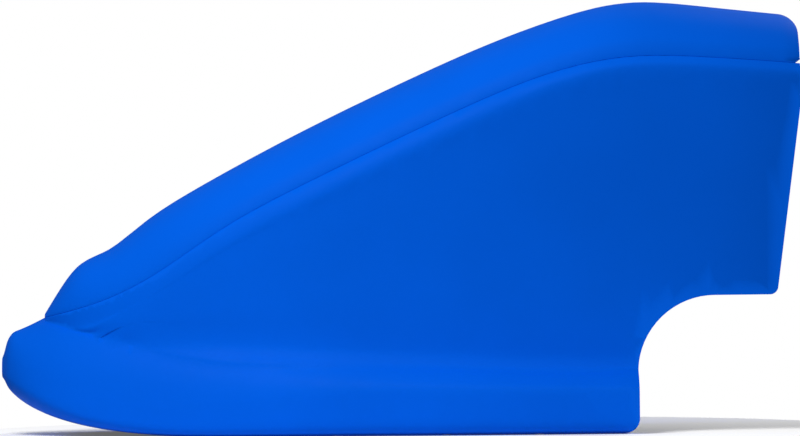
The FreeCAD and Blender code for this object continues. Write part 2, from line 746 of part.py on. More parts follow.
def steering():
    """Steering nozzle on its upright pivots, the servo that works it, and the rod between."""
    jet_z, axis_x, arm = dim("jet_axis_z"), dim("steer_axis_x"), dim("steer_arm")
    arm_z, thick = dim("arm_z"), dim("arm_thickness")
    ring = turned([
        (73.8, 11), (73.8, 12.6), (76, 12.4), (82.2, 10.4), (82.2, 9.2), (76, 11),
    ], (0, 0, jet_z))
    ears = []
    for low, web_z, web in ((jet_z + 13.5, jet_z + 11.8, thick + 1.7), (jet_z - 15.1, jet_z - 15.1, 3.3)):
        ears.append(fused(
            cylinder(3.6, thick, (axis_x, 0, low), UP),
            centred_box(axis_x, 0, low, 9.2, 7.2, thick),
            centred_box(75, 0, web_z, 3.2, 7.2, web),
        ))
    lever = fused(
        box(4, arm, thick, (axis_x - 2, 0, arm_z)),
        cylinder(2.4, thick, (axis_x, arm, arm_z), UP),
        cylinder(3.6, arm_z + thick - jet_z - 13.5, (axis_x, 0, jet_z + 13.5), UP),
    )
    pivot_holes = [
        cylinder(1.56, arm_z + thick - jet_z - 13.5 + 0.4, (axis_x, 0, jet_z + 13.3), UP),
        cylinder(1.56, 1.9, (axis_x, 0, jet_z - 15.2), UP),
        cylinder(0.9, 4, (axis_x, arm, arm_z - 1), UP),
        cylinder(9.1, 30, (axis_x - 9, 0, jet_z)),
    ]
    node("steering_nozzle", less(fused(ring, *ears, lever), *pivot_holes))
    node("pivot_pins", group(
        cylinder(1.5, 2.2, (axis_x, 0, jet_z + 13.4), UP),
        cylinder(1.5, 1.5, (axis_x, 0, jet_z - 14.9), UP),
    ))

    servo_x, servo_y = dim("servo_axis_x"), dim("servo_axis_y")
    body = fused(
        box(23, 12, 22.5, (servo_x - 6, servo_y - 6, 9)),
        box(32, 12, 2.2, (servo_x - 10.5, servo_y - 6, 25)),
        cylinder(5.6, 0.8, (servo_x, servo_y, 31.5), UP),
        cylinder(2.2, arm_z + thick - 31.7, (servo_x, servo_y, 31.5), UP),
    )
    ears_at = [(servo_x - 8.4, servo_y), (servo_x + 19.4, servo_y)]
    node("servo_case", less(body, *[cylinder(0.9, 4, (x, y, 24), UP) for x, y in ears_at]))
    posts = [
        box(3.8, 11, 22.8, (servo_x - 10.4, servo_y - 5.5, 2.2)),
        box(3.8, 11, 22.8, (servo_x + 17.6, servo_y - 5.5, 2.2)),
        box(31.8, 11, 1.6, (servo_x - 10.4, servo_y - 5.5, 2.2)),
    ]
    node("servo_bracket", less(fused(*posts), *[cylinder(0.85, 8, (x, y, 18), UP) for x, y in ears_at]))
    node("servo_screws", group(*[screw(1.6, 0.8, 6, (x, y, 27.2), (0, 0, -1)) for x, y in ears_at]))

    horn = fused(
        cylinder(3.8, thick, (servo_x, servo_y, arm_z), UP),
        box(4, arm, thick, (servo_x - 2, servo_y, arm_z)),
        cylinder(2.4, thick, (servo_x, servo_y + arm, arm_z), UP),
    )
    node("servo_horn", less(
        horn,
        cylinder(2.26, thick + 2, (servo_x, servo_y, arm_z - 1), UP),
        cylinder(0.9, 4, (servo_x, servo_y + arm, arm_z - 1), UP),
    ))
    node("horn_screw", cylinder(2.6, 1.1, (servo_x, servo_y, arm_z + thick), UP))
    start = vector(servo_x, servo_y + arm, arm_z + thick + 1.2)
    end = vector(axis_x, arm, arm_z + thick + 1.2)
    radius = dim("rod_radius")
    drop = thick + 2.2
    run = Part.makeCylinder(radius, start.distanceToPoint(end), start, end - start)
    ends = [Part.makeSphere(radius, point) for point in (start, end)]
    pins = [Part.makeCylinder(0.82, drop, point - UP * drop) for point in (start, end)]
    node("push_rod", shaped(run.fuse(ends + pins)))


def rod_opening():
    """Where the push rod passes the transom, with room for its sideways swing."""
    return box(8, 10.6, 3.4, (dim("transom_x") - 3, 9.2, dim("arm_z") + dim("arm_thickness") - 0.5))


def stern_parts(room):
    """Transom, well roof, rear panel and what is fixed to them."""
    transom, liner, roof_z = dim("transom_x"), dim("liner_thickness"), dim("well_roof_z")
    jet_z = dim("jet_axis_z")
    wall = Part.makeBox(liner, 200, roof_z - 2.5, vector(transom, -100, 2.5)).common(room)
    roof = Part.makeBox(127.5 - transom, 200, liner, vector(transom, -100, roof_z - liner)).common(room)
    lined = shaped(wall.fuse(roof))
    holes = [
        cylinder(dim("duct_bore_radius") + dim("duct_wall") + 0.05, 8, (transom - 3, 0, jet_z)),
        rod_opening(),
        cylinder(2.6, 8, (transom - 3, -50, 14)),
    ]
    bolt_ring = 13.2
    for i in range(4):
        angle = math.radians(45 + 90 * i)
        y, z = bolt_ring * math.cos(angle), jet_z + bolt_ring * math.sin(angle)
        holes.append(cylinder(0.85, 8, (transom - 3, y, z)))
    node("stern_liner", less(lined, *holes))
    edge = less(box(1.6, 13.4, 5.6, (transom + liner, 7.8, 34)), rod_opening())
    node("rod_boot", less(edge, cylinder(15.2, 4, (transom + 1, 0, jet_z))))

    tilt = math.atan2(dim("stern_x") - 8.9 - dim("stern_x"), 118 - 50.1)
    lean = FreeCAD.Rotation(STARBOARD, -math.degrees(tilt))
    foot = vector(dim("stern_x") - 8.9 - 6, 0, 50.1)
    slab = Part.makeBox(2, 200, 90, vector(-2, -100, -10))
    slab.Placement = FreeCAD.Placement(foot, lean)
    under = above_seam(-0.8)
    panel = slab.common(room).common(Part.makeBox(60, 200, 100, vector(90, -100, roof_z))).cut(under)
    return shaped(panel), foot, lean


def rear_fittings(room):
    """Rear panel with its rocker switch, and the canopy hinge above it."""
    panel, foot, lean = stern_parts(room)
    place = FreeCAD.Placement(foot, lean)

    def on_panel(item, x, y, z):
        """Set an item down in the panel's own frame: x out of its face, z up it."""
        item.Placement = place.multiply(FreeCAD.Placement(vector(x, y, z), item.Placement.Rotation))
        return item

    switch_z, half_w, half_h = 46, 9, 6.5
    hole = on_panel(box(8, 2 * half_w + 0.4, 2 * half_h + 0.4, ORIGIN), -5, -half_w - 0.2, switch_z - half_h - 0.2)
    node("rear_panel", less(panel, hole))
    shell = on_panel(box(15, 2 * half_w, 2 * half_h, ORIGIN), -14, -half_w, switch_z - half_h)
    bezel = on_panel(box(1.4, 2 * half_w + 4, 2 * half_h + 4, ORIGIN), 0, -half_w - 2, switch_z - half_h - 2)
    well = on_panel(box(9, 2 * half_w - 3, 2 * half_h - 3, ORIGIN), -6, -half_w + 1.5, switch_z - half_h + 1.5)
    pivot_x, pivot = -1, 0.8
    bearing = on_panel(cylinder(pivot + 0.05, 17.2, (0, 0, 0), STARBOARD), pivot_x, -8.6, switch_z)
    node("switch_housing", less(fused(shell, bezel), well, bearing))
    rocker = plate(
        "XZ_Plane",
        [(-3.2, -4.6), (1.4, -4.6), (1.0, 0), (1.4, 4.6), (-3.2, 4.6)],
        [],
        14.4,
        (0, 0, 0),
    )
    on_panel(rocker, 0, 7.2, switch_z)
    axle = on_panel(cylinder(pivot, 16.8, (0, 0, 0), STARBOARD), pivot_x, -8.4, switch_z)
    node("switch_rocker", fused(rocker, axle))

    hinge_x, hinge_z = dim("hinge_x"), dim("hinge_z")
    knuckle, pin = dim("knuckle_radius"), dim("pin_radius")
    plates, pins, arms = [], [], []
    for side in (-1, 1):
        for near, far in ((8, 13.8), (20.2, 26)):
            y = near if side > 0 else -far
            width = far - near
            plates.append(less(
                fused(
                    cylinder(knuckle, width, (hinge_x, y, hinge_z), STARBOARD),
                    box(2 * knuckle - 0.9, width, 15, (hinge_x - knuckle - 0.3, y, hinge_z - 15)),
                    box(2.7, width, 7, (hinge_x - 3.7, y, hinge_z - 15)),
                ),
                cylinder(pin + 0.05, width + 2, (hinge_x, y - 1, hinge_z), STARBOARD),
                panel,
            ))
        y = 14.1 if side > 0 else -19.9
        arms.append(less(
            fused(
                cylinder(knuckle, 5.8, (hinge_x, y, hinge_z), STARBOARD),
                box(3.5, 5.8, 2.4, (hinge_x - 3.5, y, hinge_z - 1.2)),
            ),
            cylinder(pin + 0.07, 8, (hinge_x, y - 1, hinge_z), STARBOARD),
        ))
        pins.append(cylinder("pin_radius", 18, (hinge_x, 8 if side > 0 else -26, hinge_z), STARBOARD))
    node("hinge_brackets", group(*plates))
    node("hinge_pins", group(*pins))
    node("lid_knuckles", group(*arms))


def power_gear(room):
    """Battery in its tray, speed controller, receiver and the cords between them."""
    length, width, height = dim("battery_length"), dim("battery_width"), dim("battery_height")
    x, z = dim("battery_x"), dim("floor_z") + 1.5
    outer = box(length + 4, width + 4.6, 9, (x - 2, -width / 2 - 2.3, dim("floor_z")))
    inner = box(length + 0.6, width + 0.6, 9, (x - 0.3, -width / 2 - 0.3, z))
    rib = Part.makeBox(3, 26, 6, vector(x + 4, -13, 0.5)).common(room)
    feet = [shaped(rib)] + [box(5, 34, dim("floor_z") - 2.2, (x + y, -17, 2.2)) for y in (34, 47)]
    node("battery_tray", less(fused(outer, *feet), inner))
    radius = height / 2
    flat = width / 2 - radius
    middle = z + radius
    pack = fused(
        box("battery_length", 2 * flat, "battery_height", (x, -flat, z)),
        *[cylinder(radius, "battery_length", (x, y, middle)) for y in (-flat, flat)],
    )
    node("battery_pack", pack)
    strap_x = x + length / 2 - 4.8
    low = dim("floor_z")
    band = less(
        box(9.6, width + 7.4, height + 3.9, (strap_x, -width / 2 - 3.7, low - 1.2)),
        box(12, width + 4.9, height + 1.5, (strap_x - 1, -width / 2 - 2.45, low)),
    )
    node("battery_strap", band)

    esc_x, esc_y, floor = -42, -40, 2.2
    node("speed_controller", box(32, 22, 10, (esc_x, esc_y, floor + 1)))
    fins = [box(24, 1, 5, (esc_x + 4, esc_y + 3.5 + 3.5 * i, floor + 12.4)) for i in range(5)]
    base = box(26, 18, 1.4, (esc_x + 3, esc_y + 2, floor + 11))
    node("heat_sink", fused(base, *fins))
    rx_x, rx_y = -40, 19
    node("receiver", fused(
        box(30, 19, 10, (rx_x, rx_y, floor + 1)),
        box(5, 14, 2, (rx_x + 22, rx_y + 2.5, floor + 11)),
    ))
    node("foam_pads", group(
        box(28, 18, 1, (esc_x + 2, esc_y + 2, floor)),
        box(26, 15, 1, (rx_x + 2, rx_y + 2, floor)),
    ))

    back = x + length
    lug_x = dim("motor_mount_x") - dim("motor_length") - 4.7
    lug_z = dim("jet_axis_z") + 7.5
    node("battery_lead_red", cord([
        (back, -15, 20.5), (back + 5, -15, 20.5), (back + 5, -27, 20.5), (back + 5, -27, 9),
        (esc_x, -27, 9),
    ], 0.9, 2.2))
    node("battery_lead_black", cord([
        (back, -15, 16.3), (back + 7, -15, 16.3), (back + 7, -35, 16.3), (back + 7, -35, 7),
        (esc_x, -35, 7),
    ], 0.9, 2.2))
    node("motor_lead_red", cord([
        (lug_x, -7, lug_z), (lug_x, -7, 33), (lug_x, -23, 33), (lug_x, -23, 12), (esc_x, -23, 12),
    ], 0.8, 2.5))
    node("motor_lead_black", cord([
        (lug_x, 7, lug_z), (lug_x, 7, 36.5), (lug_x, -31, 36.5), (lug_x, -31, 10), (esc_x, -31, 10),
    ], 0.8, 3))
    servo_x, servo_side = dim("servo_axis_x"), dim("servo_axis_y") + 6
    node("servo_lead", cord([
        (servo_x - 3, servo_side, 11), (servo_x - 3, servo_side + 6, 11), (rx_x + 30, servo_side + 6, 11),
    ], 1.1, 4))
    node("receiver_lead", cord([
        (esc_x + 32, -30, 8), (esc_x + 36, -30, 8), (esc_x + 36, -30, 40), (esc_x + 36, 25, 40),
        (esc_x + 36, 25, 14.4), (rx_x + 27, 25, 14.4),
    ], 1.1, 2.6))


def stern_gear():
    """Trim tabs on their hinges and the screw-in drain plug, all in the stern well."""
    back, low = dim("transom_x") + 2, 4.5
    axis_x = back + 2.4
    brackets, pins = [], []
    for side in (-1, 1):
        name = "tab_port" if side < 0 else "tab_starboard"
        centre = 33 * side
        blade = fused(
            box(15.4, 20, 1.2, (axis_x + 2, centre - 10, low - 0.6)),
            *[less(
                fused(
                    cylinder(1.5, 3.6, (axis_x, centre + y - 1.8, low), STARBOARD),
                    box(2.4, 3.6, 1.2, (axis_x, centre + y - 1.8, low - 0.6)),
                ),
                cylinder(0.87, 6, (axis_x, centre + y - 3, low), STARBOARD),
            ) for y in (-5, 5)],
        )
        node(name, blade)
        brackets.append(less(
            fused(
                cylinder(1.5, 6, (axis_x, centre - 3, low), STARBOARD),
                box(axis_x - back, 6, 3, (back, centre - 3, low - 1.5)),
                box(1, 20, 4, (back, centre - 10, low + 1.8)),
                box(1, 6, 4, (back, centre - 3, low - 0.6)),
            ),
            cylinder(0.85, 8, (axis_x, centre - 4, low), STARBOARD),
        ))
        pins.append(cylinder(0.8, 14, (axis_x, centre - 7, low), STARBOARD))
    node("tab_brackets", group(*brackets))
    node("tab_pins", group(*pins))
    plug = fused(
        cylinder(2.5, 6, (back - 5.9, -50, 14)),
        cylinder(4, 1.4, (back + 0.1, -50, 14)),
        centred_box(back + 1.5, -50, 11, 3, 1.4, 6),
    )
    node("drain_plug", plug)


def hull_pieces(main, lid, pan, room):
    """The shells with their openings and fastenings, the seal, magnets and buoyancy block."""
    lip = dim("lip_width")
    lip_points = []
    for x in (-60, -22, 16, 48):
        y = skirt_width(x) - lip * 0.75
        lip_points += [(x, -y), (x, y)]
    bar = Part.makeBox(7, 100, 2.5, vector(-113, -50, 38.5)).common(outer_room())
    main = drilled(drilled(main, lip_points, 0.95, 8), lip_points, 1.85, 1.3)
    node("main_shell", shaped(main.fuse(bar)))
    for x, y in DUCT_HOLES:
        pan = pan.cut(Part.makeCylinder(0.85, 4, vector(x, y, 0.9), UP))
    mouth = Part.makeBox(35.8, 24.4, 8, vector(-3.6, -12.2, -1))
    node("hull_pan", shaped(drilled(pan.cut(mouth), lip_points, 0.85, 8)))
    node("pan_screws", group(*[
        screw(1.6, 0.8, 3.3, (x, y, 1.3), (0, 0, 1)) for x, y in lip_points
    ]))
    node("canopy_lid", shaped(lid))
    node("catch_magnet", cylinder(3, 2.2, (-109.5, 0, 41), UP))
    node("canopy_magnet", cylinder(3, 2.5, (-109.5, 0, 43.7), UP))
    inner = cabin_solid(dim("skin") + 1.9)
    band = above_seam(-5).cut(above_seam(2.4)).common(Part.makeBox(220, 200, 200, vector(-103, -100, 0)))
    node("canopy_seal", shaped(band.common(room).cut(inner)))
    roof_z = dim("well_roof_z")
    node("buoyancy_block", box(50, 72, 34, (68, -36, roof_z)))


def outer_room():
    """A little wider than the room, so that a web fuses into the skin instead of touching it."""
    return cabin_solid(dim("skin") - 1).fuse(skirt_solid(dim("skin") - 1))


def drilled(shape, points, radius, height):
    """The shape with upright holes bored from underneath up to the height."""
    for x, y in points:
        shape = shape.cut(Part.makeCylinder(radius, height + 1, vector(x, y, -1), UP))
    return shape


main, lid, pan, room = hull_shells()
hull_pieces(main, lid, pan, room)
jet_drive()
drive_line()
steering()
rear_fittings(room)
power_gear(room)
stern_gear()
doc.recompute()

for item in doc.Objects:
    if any(flag in ("Invalid", "Error") for flag in item.State):
        raise RuntimeError(f"{item.Label}: {item.State}")
os.makedirs("parts", exist_ok=True)
bad = []
for label, item in NODES.items():
    shape = item.Shape
    if shape.isNull() or not shape.isValid() or not shape.Solids:
        bad.append(label)
        continue
    print(f"{label}: {len(shape.Solids)} solid(s), {shape.Volume:.1f} mm3")
    shape.exportStep(f"parts/{label}.step")
if bad:
    raise RuntimeError(f"no valid solid: {bad}")
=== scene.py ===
import json
import math

import bmesh
import bpy
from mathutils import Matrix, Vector


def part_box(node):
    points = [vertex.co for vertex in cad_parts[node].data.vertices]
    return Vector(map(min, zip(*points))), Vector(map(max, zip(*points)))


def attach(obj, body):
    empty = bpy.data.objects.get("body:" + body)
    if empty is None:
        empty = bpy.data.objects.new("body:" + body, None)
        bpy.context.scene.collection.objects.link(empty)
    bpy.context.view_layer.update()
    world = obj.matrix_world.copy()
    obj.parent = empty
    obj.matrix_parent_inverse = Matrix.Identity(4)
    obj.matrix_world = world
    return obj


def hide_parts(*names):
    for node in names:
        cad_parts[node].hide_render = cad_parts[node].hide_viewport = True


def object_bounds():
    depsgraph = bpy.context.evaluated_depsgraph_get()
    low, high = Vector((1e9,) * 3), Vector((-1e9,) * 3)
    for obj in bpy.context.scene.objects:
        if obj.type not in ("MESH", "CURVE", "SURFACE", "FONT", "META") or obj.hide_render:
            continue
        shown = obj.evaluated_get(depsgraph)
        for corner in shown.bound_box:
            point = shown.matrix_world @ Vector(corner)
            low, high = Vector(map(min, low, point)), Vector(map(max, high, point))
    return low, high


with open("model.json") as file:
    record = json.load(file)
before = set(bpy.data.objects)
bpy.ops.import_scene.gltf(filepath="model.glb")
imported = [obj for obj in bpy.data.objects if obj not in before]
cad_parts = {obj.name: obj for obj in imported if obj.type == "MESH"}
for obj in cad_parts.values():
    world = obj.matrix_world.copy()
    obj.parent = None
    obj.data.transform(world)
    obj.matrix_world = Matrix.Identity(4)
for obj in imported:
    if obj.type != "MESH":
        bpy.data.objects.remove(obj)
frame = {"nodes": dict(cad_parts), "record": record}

MM = 0.001
SAME_POINT = 0.001 * MM
cad_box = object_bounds()
record = frame["record"]
nodes = frame["nodes"]
low_corner, high_corner = (Vector(corner) for corner in cad_box)
length = high_corner.x - low_corner.x


def node_box(name):
    """A CAD node's lowest and highest corners."""
    return tuple(Vector(corner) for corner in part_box(name))


# ---------------------------------------------------------------- materials

# Nearly all the values of a noise texture lie between these two.
NOISE_LOW, NOISE_HIGH = 0.35, 0.65


class Finish:
    """One material's node tree, with short calls for what the finishes here share."""

    def __init__(self, name):
        self.material = bpy.data.materials.new(name)
        self.material.use_nodes = True
        self.tree = self.material.node_tree
        self.surface = self.tree.nodes["Principled BSDF"]
        self.place = self.node("ShaderNodeTexCoord").outputs["Object"]

    def node(self, kind, **settings):
        """A new shader node of a kind, with its settings."""
        made = self.tree.nodes.new(kind)
        for name, value in settings.items():
            setattr(made, name, value)
        return made

    def link(self, source, target):
        """A link from one node's output to another's input."""
        self.tree.links.new(source, target)

    def stretched(self, scale):
        """The place on the object, stretched, so that a texture can run along one axis."""
        mapping = self.node("ShaderNodeMapping")
        mapping.inputs["Scale"].default_value = scale
        self.link(self.place, mapping.inputs["Vector"])
        return mapping.outputs["Vector"]

    def noise(self, scale, detail=2.0, place=None):
        """Cloudy noise; scale is about the number of clouds in a metre."""
        made = self.node("ShaderNodeTexNoise")
        made.inputs["Scale"].default_value = scale
        made.inputs["Detail"].default_value = detail
        self.link(place or self.place, made.inputs["Vector"])
        return made.outputs["Fac"]

    def cells(self, scale):
        """Distance to the middle of the nearest cell; scale is the number of cells in a metre."""
        made = self.node("ShaderNodeTexVoronoi", feature="F1")
        made.inputs["Scale"].default_value = scale
        self.link(self.place, made.inputs["Vector"])
        return made.outputs["Distance"]

    def waves(self, scale, direction, distortion=0.0):
        """Even bands across one axis."""
        made = self.node("ShaderNodeTexWave", bands_direction=direction)
        made.inputs["Scale"].default_value = scale
        made.inputs["Distortion"].default_value = distortion
        self.link(self.place, made.inputs["Vector"])
        return made.outputs["Fac"]

    def product(self, first, second):
        """Two factors multiplied."""
        made = self.node("ShaderNodeMath", operation="MULTIPLY")
        self.link(first, made.inputs[0])
        self.link(second, made.inputs[1])
        return made.outputs[0]

    def between(self, factor, low, high):
        """A value that runs from low to high as the factor covers the noise's range."""
        made = self.node("ShaderNodeMapRange")
        made.inputs["From Min"].default_value = NOISE_LOW
        made.inputs["From Max"].default_value = NOISE_HIGH
        made.inputs["To Min"].default_value = low
        made.inputs["To Max"].default_value = high
        self.link(factor, made.inputs["Value"])
        return made.outputs["Result"]

    def colour(self, factor, low, high, start=NOISE_LOW, end=NOISE_HIGH):
        """The base colour, from low to high as the factor goes from start to end."""
        ramp = self.node("ShaderNodeValToRGB")
        for stop, position, tint in zip(ramp.color_ramp.elements, (start, end), (low, high)):
            stop.position = position
            stop.color = (*tint, 1)
        self.link(factor, ramp.inputs["Fac"])
        self.link(ramp.outputs["Color"], self.surface.inputs["Base Color"])

    def roughness(self, factor, low, high):
        """The roughness, from low to high with the factor."""
        self.link(self.between(factor, low, high), self.surface.inputs["Roughness"])

    def relief(self, factor, depth, strength=1.0, under=None):
        """A bump of the given depth in metres, on top of the one under it."""
        bump = self.node("ShaderNodeBump")
        bump.inputs["Distance"].default_value = depth
        bump.inputs["Strength"].default_value = strength
        self.link(factor, bump.inputs["Height"])
        if under:
            self.link(under, bump.inputs["Normal"])
        self.link(bump.outputs["Normal"], self.surface.inputs["Normal"])
        return bump.outputs["Normal"]

    def set(self, **values):
        """Constants on the shader's own sockets; underscores stand for spaces in their names."""
        for name, value in values.items():
            self.surface.inputs[name.replace("_", " ")].default_value = value


def shade(colour, factor):
    """A colour made lighter or darker."""
    return tuple(min(1.0, channel * factor) for channel in colour)


def shell_blue(name):
    """Satin blue moulded shell: even colour, faint flow marks and a very fine spark texture."""
    made = Finish(name)
    blue = (0.0, 0.1, 0.67)
    made.colour(made.noise(scale=16, detail=3), low=shade(blue, 0.97), high=shade(blue, 1.03))
    made.roughness(made.noise(scale=120, detail=4), low=0.52, high=0.58)
    flow = made.relief(made.noise(scale=14, detail=1), depth=0.06 * MM, strength=0.12)
    made.relief(made.noise(scale=3400, detail=2), depth=0.006 * MM, strength=0.5, under=flow)
    made.set(Specular_IOR_Level=0.015)
    return made.material


def plastic(name, colour, rough=(0.42, 0.54), specular=0.4, grain=0.02 * MM):
    """Moulded plastic: spark-eroded grain, flow marks and a slight change of colour."""
    made = Finish(name)
    made.colour(made.noise(scale=40, detail=3), low=shade(colour, 0.88), high=shade(colour, 1.14))
    made.roughness(made.noise(scale=170, detail=4), *rough)
    flow = made.relief(made.noise(scale=30, detail=1), depth=0.1 * MM, strength=0.15)
    made.relief(made.noise(scale=2200, detail=2), depth=grain, strength=0.6, under=flow)
    made.set(Specular_IOR_Level=specular)
    return made.material


def glass_filled(name, colour):
    """Glass-filled nylon: dark, matt, with pale flecks of fibre just under the skin."""
    made = Finish(name)
    flecks = made.noise(scale=1400, detail=2, place=made.stretched((1, 0.25, 1)))
    made.colour(flecks, low=colour, high=shade(colour, 3.2), start=0.58, end=0.74)
    made.roughness(made.noise(scale=300, detail=3), low=0.5, high=0.66)
    made.relief(made.noise(scale=1800, detail=3), depth=0.025 * MM, strength=0.7)
    made.set(Specular_IOR_Level=0.35)
    return made.material


def metal(name, colour, rough, stretch, depth, pits=0.0):
    """Metal with tool marks drawn out along one axis, or cast metal with fine pits."""
    made = Finish(name)
    marks = made.noise(scale=700, detail=3, place=made.stretched(stretch))
    made.colour(marks, low=shade(colour, 0.86), high=shade(colour, 1.1))
    made.roughness(marks, *rough)
    fine = made.relief(marks, depth=depth, strength=0.7)
    if pits:
        made.relief(made.noise(scale=1100, detail=4), depth=pits, strength=0.8, under=fine)
    made.set(Metallic=1.0)
    return made.material


def rubber(name, colour):
    """Soft matt rubber or silicone with a dusty bloom."""
    made = Finish(name)
    bloom = made.noise(scale=260, detail=5)
    made.colour(bloom, low=shade(colour, 0.8), high=shade(colour, 1.35))
    made.roughness(bloom, low=0.55, high=0.75)
    made.relief(made.noise(scale=1500, detail=3), depth=0.02 * MM, strength=0.6)
    made.set(Specular_IOR_Level=0.3, Sheen_Weight=0.15, Sheen_Roughness=0.5)
    return made.material


def foam(name, colour, cell, gap_painted_shade):
    """Cellular foam: beads or pores of the given size, with painted shade darkening the gaps between them.
    """
    made = Finish(name)
    pores = made.cells(scale=1 / cell)
    # Painted shade: the colour darkens from each cell's middle to the gaps between cells, where the bump
    # sinks them.
    made.colour(pores, low=shade(colour, 1.05), high=shade(colour, gap_painted_shade), start=0.2, end=0.85)
    beads = made.relief(pores, depth=-cell * 0.22, strength=0.7)
    made.relief(made.noise(scale=4 / cell, detail=3), depth=cell * 0.05, strength=0.6, under=beads)
    made.set(Roughness=0.92, Specular_IOR_Level=0.2)
    return made.material


def webbing(name, colour, thread):
    """Woven strap: ribs across it, crossed by finer warp threads, with a little fuzz; painted highlight on
    the threads' crowns and painted shade between them.
    """
    made = Finish(name)
    ribs = made.waves(scale=0.5 / thread, direction="X")
    warp = made.waves(scale=0.25 / thread, direction="Y", distortion=0.4)
    weave = made.product(ribs, warp)
    # Painted highlight and shade: the colour runs from dark in the hollows between threads to light on
    # their raised crowns, following the weave's height.
    made.colour(weave, low=shade(colour, 0.55), high=shade(colour, 1.9), start=0.05, end=0.7)
    threads = made.relief(weave, depth=thread * 0.35, strength=0.9)
    made.relief(made.noise(scale=2500, detail=4), depth=0.04 * MM, strength=0.6, under=threads)
    made.set(Roughness=0.88, Specular_IOR_Level=0.2, Sheen_Weight=0.3)
    return made.material


MOULDED = {
    "pan_blue_grey": (0.016, 0.02, 0.03),
    "liner_black": (0.014, 0.015, 0.017),
    "tray_plastic": (0.02, 0.021, 0.025),
    "case_plastic": (0.024, 0.026, 0.032),
    "servo_plastic": (0.01, 0.035, 0.17),
    "horn_white": (0.78, 0.78, 0.74),
    "plug_orange": (0.75, 0.13, 0.01),
}
GLOSSY = {
    "pack_wrap": (0.014, 0.02, 0.06),
    "switch_black": (0.011, 0.011, 0.012),
    "rocker_red": (0.52, 0.012, 0.009),
}
# Each metal's colour, roughness range, stretch of its tool marks and their depth.
METALS = {
    "casting_grey": ((0.48, 0.49, 0.51), (0.4, 0.52), (1, 1, 1), 0.01 * MM),
    "steel": ((0.56, 0.56, 0.58), (0.22, 0.36), (0.06, 1, 1), 0.006 * MM),
    "screw_steel": ((0.62, 0.62, 0.64), (0.14, 0.26), (1, 1, 0.1), 0.004 * MM),
    "brass": ((0.72, 0.47, 0.16), (0.2, 0.34), (0.08, 1, 1), 0.006 * MM),
    "motor_can": ((0.6, 0.61, 0.62), (0.2, 0.32), (0.04, 1, 1), 0.005 * MM),
    "jacket_aluminium": ((0.05, 0.16, 0.52), (0.22, 0.34), (0.05, 1, 1), 0.005 * MM),
    "magnet": ((0.7, 0.7, 0.72), (0.08, 0.16), (1, 1, 1), 0.002 * MM),
    "fin_aluminium": ((0.62, 0.63, 0.65), (0.26, 0.4), (0.05, 1, 1), 0.008 * MM),
}
CAST_PITS = {"casting_grey": 0.03 * MM}
RUBBERS = {
    "seal_rubber": (0.012, 0.012, 0.013),
    "wire_red": (0.5, 0.014, 0.01),
    "wire_black": (0.011, 0.011, 0.012),
    "wire_grey": (0.17, 0.15, 0.12),
}


def finish_for(name):
    """The material of one of the record's slots."""
    if name == "shell_blue":
        return shell_blue(name)
    if name == "nylon_black":
        return glass_filled(name, colour=(0.015, 0.015, 0.017))
    if name == "strap_fabric":
        return webbing(name, colour=(0.02, 0.02, 0.024), thread=0.7 * MM)
    if name == "foam":
        return foam(name, colour=(0.045, 0.045, 0.05), cell=0.5 * MM, gap_painted_shade=0.35)
    if name == "block_foam":
        return foam(name, colour=(0.82, 0.8, 0.72), cell=2.6 * MM, gap_painted_shade=0.62)
    if name in MOULDED:
        return plastic(name, MOULDED[name])
    if name in GLOSSY:
        return plastic(name, GLOSSY[name], rough=(0.16, 0.26), specular=0.5, grain=0.003 * MM)
    if name in METALS:
        return metal(name, *METALS[name], pits=CAST_PITS.get(name, 0.0))
    return rubber(name, RUBBERS[name])


finishes = {entry["slot"]: finish_for(entry["slot"]) for entry in record["materials"]}
slot_of = {entry["node"]: entry["material_slot"] for entry in record["subparts"]}
body_of = {name: body for body, names in record["behaviour"]["bodies"].items() for name in names}
for node_name, slot_name in slot_of.items():
    node_mesh = nodes[node_name].data
    node_mesh.materials.clear()
    node_mesh.materials.append(finishes[slot_name])


# ---------------------------------------------------------------- pieces


def new_piece(name, shape, node_name, replaces=True):
    """An object from a bmesh that rides and is finished as the CAD node that it belongs to."""
    mesh = bpy.data.meshes.new(name)
    shape.to_mesh(mesh)
    shape.free()
    for face in mesh.polygons:
        face.use_smooth = True
    mesh.materials.append(finishes[slot_of[node_name]])
    piece = bpy.data.objects.new(name, mesh)
    bpy.context.collection.objects.link(piece)
    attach(piece, body_of[node_name])
    if replaces:
        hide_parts(node_name)
    return piece


def modifier(piece, kind, **settings):
    """A modifier of a kind on a piece, with its settings."""
    made = piece.modifiers.new(kind.title(), kind)
    for name, value in settings.items():
        setattr(made, name, value)
    return made


def node_shape(name):
    """A CAD node's mesh as a bmesh, with the vertices that its hard edges split joined again."""
    shape = bmesh.new()
    shape.from_mesh(nodes[name].data)
    bmesh.ops.remove_doubles(shape, verts=shape.verts, dist=SAME_POINT)
    return shape


def divided_cube(cuts):
    """A cube that reaches 1 from the origin along each axis, with a grid of faces on each side."""
    shape = bmesh.new()
    bmesh.ops.create_cube(shape, size=2)
    bmesh.ops.subdivide_edges(shape, edges=shape.edges, cuts=cuts, use_grid_fill=True)
    return shape


def smooth_regions(shape, limit):
    """The faces of a bmesh in regions that are separated by edges sharper than the limit."""
    regions, seen = [], set()
    for first in shape.faces:
        if first in seen:
            continue
        seen.add(first)
        region, waiting = [], [first]
        while waiting:
            face = waiting.pop()
            region.append(face)
            for edge in face.edges:
                for other in edge.link_faces:
                    if other not in seen and face.normal.angle(other.normal, 0) < limit:
                        seen.add(other)
                        waiting.append(other)
        regions.append(region)
    return regions


# The canopy's rim is the smooth region that faces down, never sideways, and climbs well above the bow.
RIM_SHARP = math.radians(25)
RIM_MOST_SIDEWAYS = 0.06
RIM_LEAST_DOWN = 0.6
RIM_LEAST_HEIGHT = 50 * MM
RIM_BEAD = 0.385 * MM


